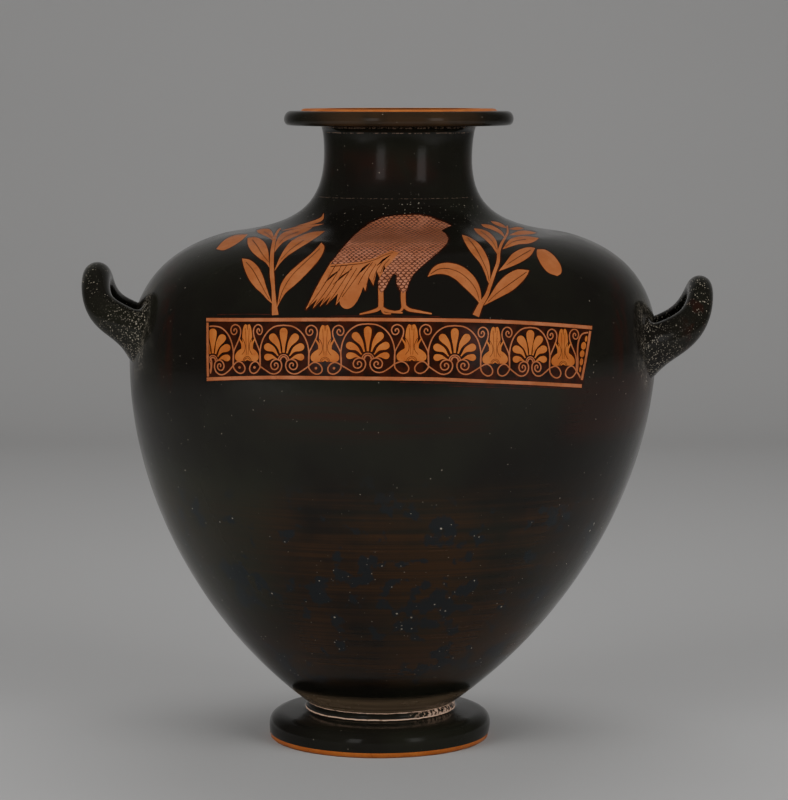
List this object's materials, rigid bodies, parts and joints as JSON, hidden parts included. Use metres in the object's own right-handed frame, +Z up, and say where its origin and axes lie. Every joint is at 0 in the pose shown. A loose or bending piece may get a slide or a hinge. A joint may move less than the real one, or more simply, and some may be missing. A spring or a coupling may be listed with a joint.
{
  "type": "hydria",
  "caption": "Round-shouldered fired-clay water jar with a thick lip, disc foot, upturned side handles and an upright back handle, hollow and open at the mouth.",
  "frame": {"origin": "centre of the box around the jar and its handles, on the plane that the foot stands on", "axes": "+Z up; the painted front faces -Y; the side handles reach to -X and +X; the back handle is at +Y"},
  "size_m": [0.382, 0.32, 0.385],
  "materials": {
    "black_gloss": "fired clay under thin glossy black slip, with orange reserved ornament, worn and speckled"
  },
  "bodies": {
    "root": {"hydria": "black_gloss"}
  },
  "joints": []
}
